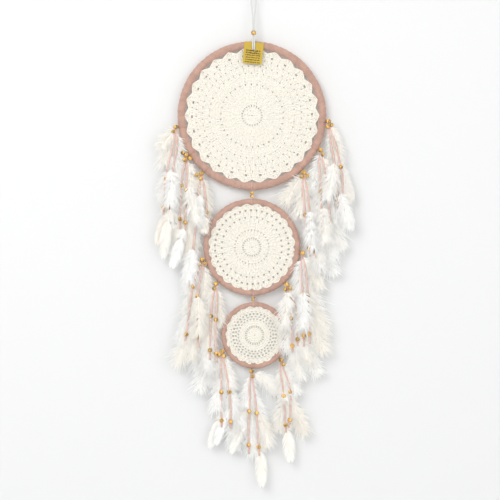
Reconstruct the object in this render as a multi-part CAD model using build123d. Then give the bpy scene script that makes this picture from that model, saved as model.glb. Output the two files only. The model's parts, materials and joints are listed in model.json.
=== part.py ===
from build123d import *
import math
import os
from collections import namedtuple

# Dream catcher that hangs on a wall: three suede-wrapped hoops, one under the other, each with a
# crocheted doily stretched across it, and folded suede laces with beads and feathers.
# Millimetres. +Z is up and -Y is the front. The origin is the hanging point, inside the top of
# the cord's loop, where the nail goes.

os.makedirs("parts", exist_ok=True)

# --- fits -----------------------------------------------------------------------------------
moving_gap = 0.3        # between bodies that move past each other
fixed_gap = 0.05        # between pieces that are bound to each other
stitch_depth = 0.8      # how far the doily's points are sewn into the suede

# --- hoops, suede wrap and doilies ------------------------------------------------------------
large_outer_d = 220.0
middle_outer_d = 143.6
small_outer_d = 98.6
large_rod_d = 8.5
middle_rod_d = 6.2
small_rod_d = 5.0
large_wrap_t = 1.5
middle_wrap_t = 1.3
small_wrap_t = 1.2
doily_t = 1.6
large_points = 26       # an even number puts a valley at the top and one at the bottom
middle_points = 24
small_points = 18
large_valley = 4.1      # depth of the valleys, from the suede's inner edge
middle_valley = 2.6
small_valley = 2.1
large_offset_x = -2.4   # each hoop hangs a little off the nail's line
middle_offset_x = -2.6
small_offset_x = 1.4

# --- hanging cord, its bead and the label -----------------------------------------------------
cord_d = 2.2
cord_leg_gap = 0.2      # between the two legs, side by side
loop_top_z = -78.0      # centre of the large hoop's rod, below the nail
loop_half_w = 4.6       # half the loop's width near the nail
knot_w = 6.8
knot_t = 4.2
knot_h = 5.0
hanger_bead_d = 7.8
hanger_bead_rise = 17.0  # bead's centre above the large hoop's rod
bead_travel = 6.0
label_w = 28.5
label_h = 32.0
label_t = 0.5
label_corner_r = 1.2
label_hole_d = 5.6
label_hole_down = 9.2   # from the label's top edge to its hole's centre
label_tilt = -6.0       # degrees about +Y

# --- threads and beads between the hoops --------------------------------------------------------
thread_d = 1.0
upper_link_h = 12.4     # gap between the large and the middle hoop
lower_link_h = 9.0      # gap between the middle and the small hoop
link_bead_d = 5.4
link_bead_bore_gap = 0.1

# --- laces, beads and feathers ------------------------------------------------------------------
lace_d = 2.2
hitch_w = 2.8           # width of the turn of lace round the hoop
hitch_t = 1.2
hitch_front = 35.0      # degrees that a tie sits forward of the hoop's outer edge
cinch_bead_d = 7.6
strand_bead_d = 6.4
strand_gap = 0.2        # between the two strands of a folded lace
bore_gap = 0.25         # round a lace in its bead
end_bead_at = 0.72      # where the end bead sits along a strand's last run
feather_w = 8.0
feather_t = 0.8
feather_layer = 1.2     # from one feather to the next, front to back


# One hoop with what is fixed to it: rod_d is the bare rod and wrap_r the radius over the suede.
Ring = namedtuple("Ring", "name x z rod_d wrap_r centre_r points valley")

# One folded lace: its tie on a hoop in degrees clockwise from the top, the two feather lengths,
# and its strands. A strand has points (x, z) from the cinch bead's centre, below the first two.
Pendant = namedtuple("Pendant", "name ring angle mid_len end_len strands")
Strand = namedtuple("Strand", "points mid_bead")

MID_RUN = 3             # the run of a strand that carries its middle bead


def make_ring(name, x, top_z, outer_d, rod_d, wrap_t, points, valley):
    """A hoop whose rod has its top centre at top_z."""
    wrap_r = rod_d / 2 + wrap_t
    centre_r = outer_d / 2 - wrap_r
    return Ring(name, x, top_z - centre_r, rod_d, wrap_r, centre_r, points, valley)


large = make_ring("large", large_offset_x, loop_top_z, large_outer_d, large_rod_d, large_wrap_t,
                  large_points, large_valley)
middle_wrap_r = middle_rod_d / 2 + middle_wrap_t
middle_top_z = large.z - large_outer_d / 2 - upper_link_h - middle_wrap_r
middle = make_ring("middle", middle_offset_x, middle_top_z, middle_outer_d, middle_rod_d,
                   middle_wrap_t, middle_points, middle_valley)
small_wrap_r = small_rod_d / 2 + small_wrap_t
small_top_z = middle.z - middle_outer_d / 2 - lower_link_h - small_wrap_r
small = make_ring("small", small_offset_x, small_top_z, small_outer_d, small_rod_d,
                  small_wrap_t, small_points, small_valley)

PENDANTS = [
    Pendant("large_left_outer", large, -98.8, 50, 70, [
        Strand([(-4, -26), (-12, -58), (-17, -92), (-19, -129)], True),
        Strand([(2, -25), (-3.5, -58), (-9.5, -92), (-9.8, -131)], True)]),
    Pendant("large_left_middle", large, -121.2, 40, 50, [
        Strand([(-3, -18), (-6.5, -32), (-7.5, -58), (-9.5, -108)], True),
        Strand([(2, -20), (0.5, -36), (-0.8, -66), (-1.5, -112)], True)]),
    Pendant("large_left_inner", large, -139.0, 45, 14, [
        Strand([(-3.5, -24), (-6, -50), (-9.5, -86), (-13.5, -126)], True),
        Strand([(3.5, -16), (6, -36), (9, -66)], False)]),
    Pendant("large_right_outer", large, 94.5, 50, 68, [
        Strand([(1, -22), (7, -50), (12, -84), (14.5, -130)], True),
        Strand([(6, -22), (14.5, -50), (21, -84), (22.5, -132)], True)]),
    Pendant("large_right_middle", large, 116.9, 45, 50, [
        Strand([(-2.2, -20), (-0.5, -44), (1.5, -78), (0.6, -122)], True),
        Strand([(4.5, -20), (9, -44), (12, -74), (14.2, -114)], True)]),
    Pendant("large_right_inner", large, 137.7, 45, 22, [
        Strand([(-1.5, -22), (0.8, -46), (2.8, -80), (9.5, -124)], True),
        Strand([(4.5, -22), (8, -50), (11, -86), (16.8, -126)], True)]),
    Pendant("middle_left_outer", middle, -104.1, 46, 66, [
        Strand([(-4.5, -15), (-11, -30), (-16, -50), (-19.5, -84), (-25, -120)], True),
        Strand([(0.8, -17), (-5.5, -38), (-9, -71), (-5.5, -130)], True)]),
    Pendant("middle_left_inner", middle, -135.5, 42, 45, [
        Strand([(-4, -16), (-6.5, -34), (-8.2, -62), (-9, -112)], True),
        Strand([(1.8, -18), (0.2, -38), (-0.5, -68), (0.3, -116)], True)]),
    Pendant("middle_right_outer", middle, 96.4, 46, 58, [
        Strand([(-2, -20), (-1.2, -44), (0.8, -80), (1.8, -138)], True),
        Strand([(3.5, -20), (7, -46), (8.8, -80), (10.5, -134)], True)]),
    Pendant("middle_right_inner", middle, 136.8, 36, 26, [
        Strand([(0.5, -16), (5.5, -34), (7.5, -66), (8, -100)], True),
        Strand([(4.5, -16), (13.5, -30), (16, -56), (15.5, -90)], True)]),
    Pendant("small_left", small, -116.2, 42, 48, [
        Strand([(-2.2, -18), (-1.2, -44), (-1.8, -76), (-0.8, -112)], True),
        Strand([(3, -18), (8.5, -44), (12.5, -76), (12, -114)], True)]),
    Pendant("small_right", small, 132.7, 40, 58, [
        Strand([(-0.8, -18), (2.5, -38), (5, -68), (7.6, -107)], True),
        Strand([(4.5, -16), (12, -34), (15.5, -60), (11.8, -100)], True)]),
    Pendant("small_bottom", small, -175.2, 42, 46, [
        Strand([(-2.8, -20), (-2.2, -44), (-4.8, -74), (-4, -122)], True),
        Strand([(2.6, -20), (6.5, -46), (8.3, -77), (11.5, -125)], True)]),
]


def save(node, *solids):
    """Write one node. Several solids stay separate pieces in one file."""
    shape = solids[0] if len(solids) == 1 else Compound(children=list(solids))
    export_step(shape, f"parts/{node}.step")


def corner_radii(points):
    """Each corner's arc: 0.45 of its shorter run, over the tangent of half its turn."""
    radii = []
    for before, here, after in zip(points, points[1:], points[2:]):
        into = Vector(here) - Vector(before)
        out = Vector(after) - Vector(here)
        half_turn = math.radians(into.get_angle(out)) / 2
        radii.append(0.45 * min(into.length, out.length) / math.tan(half_turn))
    return radii


def cord_tube(points, diameter, name):
    """A round tube along straight runs joined by tangent arcs."""
    radii = corner_radii(points)
    path = FilletPolyline(*points, radius=radii)
    start = Plane(origin=points[0], z_dir=Vector(points[1]) - Vector(points[0]))
    tube = sweep(start * Circle(diameter / 2), path=path)
    expected = math.pi * diameter ** 2 / 4 * path.length
    print(f"{name}: {path.length:.1f} mm long, least radius {min(radii):.1f} mm, "
          f"volume {tube.volume / expected:.4f} of section times length")
    return tube


def spot(x, y, z, direction):
    """A place for a piece whose own axis is Z, turned to lie along a direction."""
    return Plane(origin=(x, y, z), z_dir=direction).location


def bead(diameter, bore_r, place):
    """A round bead with its bore along the cord that it sits on."""
    return place * (Sphere(diameter / 2) - Cylinder(bore_r, diameter * 1.2))


def torus_in_plane(ring, section_r):
    """A torus round the hoop's centre, standing upright in the XZ plane."""
    return Pos(ring.x, 0, ring.z) * Rot(90, 0, 0) * Torus(ring.centre_r, section_r)


def rod_centre(ring, angle):
    """The middle of the hoop's rod at an angle clockwise from the top, and its outward way."""
    outward = Vector(math.sin(math.radians(angle)), 0, math.cos(math.radians(angle)))
    return Vector(ring.x, 0, ring.z) + outward * ring.centre_r, outward


def notch(ring, angle, width, reach):
    """The block taken out of a doily where a cord passes inside the hoop."""
    centre, outward = rod_centre(ring, angle)
    block = Box(2 * reach, width, 3 * doily_t)
    return Plane(origin=centre, x_dir=outward, z_dir=(0, -1, 0)).location * block


def doily(ring, notches):
    """A thin disc with one arc for each scallop, sewn into the suede at the scallops' tops."""
    inner_r = ring.centre_r - ring.wrap_r
    step = 360 / ring.points

    def at(radius, angle):
        turn = math.radians(angle)
        return (radius * math.sin(turn), radius * math.cos(turn))

    scallops = []
    for number in range(ring.points):
        left = at(inner_r - ring.valley, number * step)
        top = at(inner_r + stitch_depth, (number + 0.5) * step)
        right = at(inner_r - ring.valley, (number + 1) * step)
        scallops.append(ThreePointArc(left, top, right))
    outline = make_face(Wire(scallops))
    disc = extrude(Plane.XZ * outline, amount=doily_t / 2, both=True)
    disc = Pos(ring.x, 0, ring.z) * disc
    for block in notches:
        disc = disc - block
    return disc


def hitch(ring, angle):
    """The turn of suede lace that ties a pendant round the hoop."""
    centre, outward = rod_centre(ring, angle)
    along = outward.cross(Vector(0, 1, 0))
    outer = Cylinder(ring.wrap_r + hitch_t, hitch_w)
    band = outer - Cylinder(ring.wrap_r + fixed_gap, hitch_w * 2)
    return Plane(origin=centre, z_dir=along).location * band


# --- hoops --------------------------------------------------------------------------------------
cord_r = cord_d / 2
cord_x = cord_r + cord_leg_gap / 2
lace_r = lace_d / 2
strand_x = lace_r + strand_gap / 2
thread_r = thread_d / 2

cord_under = large.wrap_r + moving_gap + cord_r        # from the rod's centre down to the cord
cord_notch_w = 2 * (cord_x + cord_r + 2 * moving_gap)
thread_notch_w = thread_d + 4 * moving_gap


def angle_at(ring, x):
    """The angle from the hoop's top at which its rod passes under a place x."""
    return math.degrees(math.asin((x - ring.x) / ring.centre_r))


# What passes inside each hoop besides its laces: angle, notch width and reach from the rod.
upper_link_x = (large.x + middle.x) / 2
lower_link_x = (middle.x + small.x) / 2
passing = {
    "large": [(angle_at(large, 0), cord_notch_w, cord_under + cord_d),
              (180 - angle_at(large, upper_link_x), thread_notch_w, None)],
    "middle": [(angle_at(middle, upper_link_x), thread_notch_w, None),
               (180 - angle_at(middle, lower_link_x), thread_notch_w, None)],
    "small": [(angle_at(small, lower_link_x), thread_notch_w, None)],
}

for ring in (large, middle, small):
    ties = [pendant.angle for pendant in PENDANTS if pendant.ring is ring]
    rod = torus_in_plane(ring, ring.rod_d / 2)
    suede = torus_in_plane(ring, ring.wrap_r) - torus_in_plane(ring, ring.rod_d / 2 + fixed_gap)
    notches = [notch(ring, angle, hitch_w + 2 * moving_gap, ring.wrap_r + hitch_t + moving_gap)
               for angle in ties]
    for angle, width, reach in passing[ring.name]:
        reach = reach or ring.wrap_r + thread_d + 3 * moving_gap
        notches.append(notch(ring, angle, width, reach))
    save(f"{ring.name}_hoop", rod)
    save(f"{ring.name}_suede_wrap", suede)
    save(f"{ring.name}_doily", doily(ring, notches))
    save(f"{ring.name}_lace_hitches", *[hitch(ring, angle) for angle in ties])

# --- hanging cord: round the large hoop's rod, up through the bead, and over the nail ------------
rod_z = loop_top_z
label_pass_z = rod_z + large.wrap_r                      # the cord clears the label up to here
label_pass_y = -(large.wrap_r + label_t + 2 * moving_gap + cord_r)
back_y = large.wrap_r + moving_gap + cord_r
knot_z = rod_z + large.wrap_r
lean = -label_pass_y / (cord_r - label_pass_z)          # forward per millimetre down


def lean_y(z):
    """How far forward the cord lies at a height, on its straight line from the nail."""
    return -lean * (cord_r - z)


bead_z = rod_z + hanger_bead_rise
part_z = bead_z + hanger_bead_d / 2 + bead_travel + 14  # the legs part well above the bead
near_nail_z = -9.0


def cord_leg(side):
    """One leg from the knot behind the hoop up to the loop's shoulder. side is -1 or 1."""
    x = side * cord_x
    return [
        (x, back_y, knot_z),
        (x, back_y, rod_z - cord_under),
        (x, lean_y(rod_z - cord_under), rod_z - cord_under),
        (x, lean_y(part_z), part_z),
        (side * loop_half_w, lean_y(near_nail_z), near_nail_z),
    ]


cord_points = cord_leg(-1) + [(-3.2, 0, cord_r), (3.2, 0, cord_r)] + cord_leg(1)[::-1]
hanging_cord = cord_tube(cord_points, cord_d, "hanging cord")
save("hanging_cord", hanging_cord)

knot_profile = Plane.XY.offset(knot_z) * Pos(0, back_y) * Ellipse(knot_w / 2, knot_t / 2)
save("cord_knot", extrude(knot_profile, amount=knot_h, taper=8))

leg_way = Vector(0, lean_y(bead_z + 1) - lean_y(bead_z), 1).normalized()
hanger_bore_r = cord_x + cord_r + 2 * fixed_gap
hanger_bead_place = spot(0, lean_y(bead_z), bead_z, leg_way)
save("hanger_bead", bead(hanger_bead_d, hanger_bore_r, hanger_bead_place))

# --- label ---------------------------------------------------------------------------------------
arc_r = 0.45 * (back_y - lean_y(rod_z - cord_under))   # the cord's bend under the rod, in front
label_y = -(large.wrap_r + moving_gap + label_t / 2)
bend_y = lean_y(rod_z - cord_under) + arc_r
bend_z = rod_z - cord_under + arc_r
hole_z = bend_z - math.sqrt(arc_r ** 2 - (label_y - bend_y) ** 2)
card = RectangleRounded(label_w, label_h, label_corner_r)
hole_up = label_h / 2 - label_hole_down
card = Pos(0, -hole_up) * card - Circle(label_hole_d / 2)
card = extrude(Plane.XZ * card, amount=label_t / 2, both=True)
save("label_tag", Pos(0, label_y, hole_z) * Rot(0, -label_tilt, 0) * card)


# --- threads and beads between the hoops ----------------------------------------------------------
def link(name, upper, lower, x):
    """A thread looped round two rods and pulled straight through a stack of two beads."""
    top = rod_centre(upper, 180 - angle_at(upper, x))[0]
    low = rod_centre(lower, angle_at(lower, x))[0]
    way = Vector(0, 0, -1)
    top_loop_r = upper.wrap_r + moving_gap + thread_r
    low_loop_r = lower.wrap_r + moving_gap + thread_r
    start = top + way * top_loop_r
    end = low - way * low_loop_r
    thread = Plane(origin=top, z_dir=(1, 0, 0)).location * Torus(top_loop_r, thread_r)
    thread += Plane(origin=low, z_dir=(1, 0, 0)).location * Torus(low_loop_r, thread_r)
    run = (end - start).length
    thread += Plane(origin=start, z_dir=way).location * Cylinder(
        thread_r, run, align=(Align.CENTER, Align.CENTER, Align.MIN))
    room = run - 2 * thread_r - 4 * moving_gap
    shares = (0.56, 0.44)
    down = thread_r + moving_gap
    beads = []
    for share in shares:
        length = room * share
        body = Cylinder(link_bead_d / 2, length)
        body = fillet(body.edges().filter_by(GeomType.CIRCLE), length * 0.3)
        body = body - Cylinder(thread_r + link_bead_bore_gap, length * 2)
        middle_of_bead = start + way * (down + length / 2)
        beads.append(Plane(origin=middle_of_bead, z_dir=way).location * body)
        down += length + 2 * moving_gap
    save(f"{name}_thread", thread)
    save(f"{name}_beads", *beads)
    print(f"{name} turns about ({top.X:.3f}, 0, {top.Z:.3f}), "
          f"the hoop below about ({low.X:.3f}, 0, {low.Z:.3f})")


link("upper_link", large, middle, upper_link_x)
link("lower_link", middle, small, lower_link_x)


# --- laces with their beads and feathers ------------------------------------------------------------
def cinch_centre(pendant):
    """The cinch bead lies against the hitch, forward of the hoop's outer edge."""
    ring = pendant.ring
    centre, outward = rod_centre(ring, pendant.angle)
    reach = ring.wrap_r + hitch_t + moving_gap + cinch_bead_d / 2
    tip = math.radians(hitch_front)
    return centre + outward * (reach * math.cos(tip)) + Vector(0, -reach * math.sin(tip), 0)


def strand_depth(pendant, home):
    """How far forward a strand hangs, so that its beads clear the front of the hoop below."""
    below = {"large": middle, "middle": small}.get(pendant.ring.name)
    front = below.wrap_r + moving_gap + strand_bead_d / 2 if below else 0
    return min(home.Y, -front)


def feather(top, length, y):
    """A plain leaf-shaped blade that hangs from the point top, in its own layer."""
    x, z = top
    left = ThreePointArc((x, z), (x - feather_w / 2, z - length * 0.45), (x, z - length))
    right = ThreePointArc((x, z - length), (x + feather_w / 2, z - length * 0.45), (x, z))
    blade = make_face(Wire([left, right]))
    return Pos(0, y, 0) * extrude(Plane.XZ * blade, amount=feather_t / 2, both=True)


def make_pendant(pendant):
    """The lace's two strands, the beads on them and a feather before each bead."""
    home = cinch_centre(pendant)
    depth = strand_depth(pendant, home)
    grip = cinch_bead_d * 0.4
    laces = []
    beads = [bead(cinch_bead_d, 2 * lace_r + strand_gap / 2 + fixed_gap * 2,
                  Location((home.X, home.Y, home.Z)))]
    feathers = []
    layer = strand_bead_d / 2 + moving_gap + feather_t / 2
    for number, strand in enumerate(pendant.strands):
        side = -1 if number == 0 else 1
        points = [home + Vector(side * strand_x, 0, grip),
                  home + Vector(side * (strand_x + 0.1), 0, -8)]
        points += [Vector(home.X + x, depth, home.Z + z) for x, z in strand.points]
        laces.append(cord_tube(points, lace_d, f"{pendant.name} strand {number + 1}"))
        sites = []
        if strand.mid_bead:
            sites.append((points[MID_RUN], points[MID_RUN + 1], 0.5, pendant.mid_len))
        sites.append((points[-2], points[-1], end_bead_at, pendant.end_len))
        for upper, lower, share, length in sites:
            spot_on_lace = upper + (lower - upper) * share
            place = Plane(origin=spot_on_lace, z_dir=upper - lower).location
            beads.append(bead(strand_bead_d, lace_r + bore_gap, place))
            feathers.append(feather((spot_on_lace.X, spot_on_lace.Z), length,
                                    spot_on_lace.Y - layer))
            layer += feather_layer
    save(f"{pendant.name}_lace", *laces)
    save(f"{pendant.name}_beads", *beads)
    save(f"{pendant.name}_feathers", *feathers)
    pivot = home + Vector(0, 0, cinch_bead_d / 2 + moving_gap)
    print(f"{pendant.name} hangs from ({pivot.X:.3f}, {pivot.Y:.3f}, {pivot.Z:.3f})")


for pendant in PENDANTS:
    make_pendant(pendant)

# --- joint places, for the record -----------------------------------------------------------------
for ring in (large, middle, small):
    print(f"{ring.name} hoop: x {ring.x:.3f}, rod centre at the top {ring.z + ring.centre_r:.3f}, "
          f"at the bottom {ring.z - ring.centre_r:.3f}")
print(f"label turns about (0, {label_y:.3f}, {hole_z:.3f})")
print(f"hanger bead slides along ({leg_way.X:.5f}, {leg_way.Y:.5f}, {leg_way.Z:.5f})")
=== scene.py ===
import json
import math

import bpy
import numpy as np
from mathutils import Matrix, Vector


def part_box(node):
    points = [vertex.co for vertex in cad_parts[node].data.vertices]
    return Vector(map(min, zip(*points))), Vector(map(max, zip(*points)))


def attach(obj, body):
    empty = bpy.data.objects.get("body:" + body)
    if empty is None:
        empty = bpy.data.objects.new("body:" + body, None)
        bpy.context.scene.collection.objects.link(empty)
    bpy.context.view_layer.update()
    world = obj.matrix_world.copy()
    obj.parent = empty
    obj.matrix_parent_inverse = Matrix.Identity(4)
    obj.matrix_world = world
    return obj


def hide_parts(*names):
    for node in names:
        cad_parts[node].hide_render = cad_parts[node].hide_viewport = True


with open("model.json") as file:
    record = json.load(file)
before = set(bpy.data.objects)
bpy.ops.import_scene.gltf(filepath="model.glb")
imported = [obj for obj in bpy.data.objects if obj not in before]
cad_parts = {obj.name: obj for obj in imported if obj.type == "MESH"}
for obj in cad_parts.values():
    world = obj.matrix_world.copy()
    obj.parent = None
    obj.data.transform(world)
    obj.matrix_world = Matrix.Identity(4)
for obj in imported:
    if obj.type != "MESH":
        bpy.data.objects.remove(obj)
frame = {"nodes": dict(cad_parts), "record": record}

bl_info = {
    "name": "Dream Catcher",
    "version": (1, 0, 0),
    "blender": (4, 5, 0),
    "location": "View3D > Sidebar > Dream Catcher",
    "description": "Laces, beads, feathers and doilies of a three-hoop dream catcher",
    "category": "Object",
}

MM = 0.001
FRONT = np.array([0.0, -1.0, 0.0])
RINGS = ("large", "middle", "small")

# Lengths in mm: the hanging cord from end to end, one turn of its plies, from a pendant's hinge
# down to its cinch bead's centre, and the lace's width as a round cord.
CORD_LENGTH = 220
PLY_TURN = 7
HINGE_TO_BEAD = 4.1
LACE_AS_ROUND = 2.2

# Where the end bead sits along a strand's last run.
END_BEAD_AT = 0.72

# How far a feather starts behind (-1) or before (1) its laces, in mm along Y.
LAYER_DEPTH = {-1: 1.6, 1: -5.2}

# For barbs, along X and Y: the distance from the middle where they start to be drawn in, and the
# room past it, in mm.
BARB_ROOM = ((0, 138, 13), (1, 18, 6))

# The wall's front, in mm behind the nail.
WALL_BACK = 10.8

# Scallops round each doily, and how deep the valleys are from the suede's inner edge, in mm.
SCALLOPS = {"large": (26, 4.4), "middle": (24, 2.6), "small": (18, 2.1)}

# Rounds of each doily from the middle out, in mm: inner radius, outer radius, repeats round the
# circle, posts in each repeat, the share of the repeat left open, and a shift in repeats.
# A round with 0 repeats is plain, with a post for each width of yarn.
ROUNDS = {
    "large": [
        (1.5, 5.0, 12, 1, 0, 0), (5.0, 8.6, 24, 1, 0, 0), (8.6, 12.4, 36, 1, 0, 0),
        (12.4, 16.6, 24, 2, 0.36, 0), (16.6, 20.8, 0, 1, 0, 0), (20.8, 25.2, 0, 1, 0, 0),
        (25.2, 29.8, 0, 1, 0, 0), (29.8, 34.4, 0, 1, 0, 0), (34.4, 39.2, 0, 1, 0, 0),
        (39.2, 44.2, 0, 1, 0, 0), (44.2, 48.4, 34, 6, 0.2, 0), (48.8, 53.2, 0, 1, 0, 0),
        (53.2, 57.2, 0, 1, 0, 0), (57.2, 61.2, 0, 1, 0, 0), (61.2, 64.6, 44, 5, 0.15, 0),
        (64.6, 71.6, 0, 1, 0, 0), (71.6, 75.0, 52, 5, 0.17, 0.5), (75.0, 80.6, 0, 1, 0, 0),
        (80.6, 84.6, 52, 6, 0.12, 0), (84.6, 86.6, 0, 1, 0, 0), (86.6, 90.6, 26, 9, 0.17, 0.5),
        (90.6, 93.2, 0, 1, 0, 0)],
    "middle": [
        (1.4, 4.6, 11, 1, 0, 0), (4.6, 7.8, 22, 1, 0, 0), (7.8, 10.8, 32, 1, 0, 0),
        (10.8, 15.2, 24, 2, 0.38, 0), (15.2, 19.2, 0, 1, 0, 0), (19.2, 23.2, 0, 1, 0, 0),
        (23.2, 27.2, 32, 3, 0.24, 0), (27.2, 31.4, 0, 1, 0, 0), (31.4, 36.4, 0, 1, 0, 0),
        (36.4, 42.6, 0, 1, 0, 0), (42.6, 46.4, 32, 4, 0.26, 0), (46.4, 52.4, 0, 1, 0, 0),
        (52.4, 56.6, 42, 4, 0.33, 0), (56.6, 59.8, 0, 1, 0, 0)],
    "small": [
        (1.3, 4.2, 10, 1, 0, 0), (4.2, 7.2, 20, 1, 0, 0), (7.2, 10.2, 28, 1, 0, 0),
        (10.2, 15.2, 24, 2, 0.42, 0), (15.2, 18.6, 0, 1, 0, 0), (18.6, 22.2, 0, 1, 0, 0),
        (22.2, 25.8, 30, 2, 0.46, 0), (25.8, 29.4, 30, 2, 0.48, 0.5), (29.4, 33.6, 36, 2, 0.46, 0),
        (33.6, 36.4, 36, 4, 0.28, 0.5), (36.4, 38.6, 0, 1, 0, 0)],
}

# The laces, in mm from the cinch bead's centre, with each strand's cut length: points (x, z).
STRANDS = {
    "large_left_outer": [
        (134, [(-4, -26), (-12, -58), (-17, -92), (-19, -129)]),
        (135, [(2, -25), (-3.5, -58), (-9.5, -92), (-9.8, -131)])],
    "large_left_middle": [
        (112, [(-3, -18), (-6.5, -32), (-7.5, -58), (-9.5, -108)]),
        (115, [(2, -20), (0.5, -36), (-0.8, -66), (-1.5, -112)])],
    "large_left_inner": [
        (130, [(-3.5, -24), (-6, -50), (-9.5, -86), (-13.5, -126)]),
        (70, [(3.5, -16), (6, -36), (9, -66)])],
    "large_right_outer": [
        (134, [(1, -22), (7, -50), (12, -84), (14.5, -130)]),
        (138, [(6, -22), (14.5, -50), (21, -84), (22.5, -132)])],
    "large_right_middle": [
        (125, [(-2.2, -20), (-0.5, -44), (1.5, -78), (0.6, -122)]),
        (118, [(4.5, -20), (9, -44), (12, -74), (14.2, -114)])],
    "large_right_inner": [
        (128, [(-1.5, -22), (0.8, -46), (2.8, -80), (9.5, -124)]),
        (130, [(4.5, -22), (8, -50), (11, -86), (16.8, -126)])],
    "middle_left_outer": [
        (126, [(-4.5, -15), (-11, -30), (-16, -50), (-19.5, -84), (-25, -120)]),
        (134, [(0.8, -17), (-5.5, -38), (-9, -71), (-5.5, -130)])],
    "middle_left_inner": [
        (116, [(-4, -16), (-6.5, -34), (-8.2, -62), (-9, -112)]),
        (119, [(1.8, -18), (0.2, -38), (-0.5, -68), (0.3, -116)])],
    "middle_right_outer": [
        (141, [(-2, -20), (-1.2, -44), (0.8, -80), (1.8, -138)]),
        (138, [(3.5, -20), (7, -46), (8.8, -80), (10.5, -134)])],
    "middle_right_inner": [
        (104, [(0.5, -16), (5.5, -34), (7.5, -66), (8, -100)]),
        (96, [(4.5, -16), (13.5, -30), (16, -56), (15.5, -90)])],
    "small_left": [
        (115, [(-2.2, -18), (-1.2, -44), (-1.8, -76), (-0.8, -112)]),
        (118, [(3, -18), (8.5, -44), (12.5, -76), (12, -114)])],
    "small_right": [
        (110, [(-0.8, -18), (2.5, -38), (5, -68), (7.6, -107)]),
        (105, [(4.5, -16), (12, -34), (15.5, -60), (11.8, -100)])],
    "small_bottom": [
        (125, [(-2.8, -20), (-2.2, -44), (-4.8, -74), (-4, -122)]),
        (128, [(2.6, -20), (6.5, -46), (8.3, -77), (11.5, -125)])],
}

# How far forward each hoop's strands hang at least, in mm, so that they clear the hoop below.
STRAND_FORWARD = {"large": 7.9, "middle": 7.2, "small": 0.0}

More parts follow.
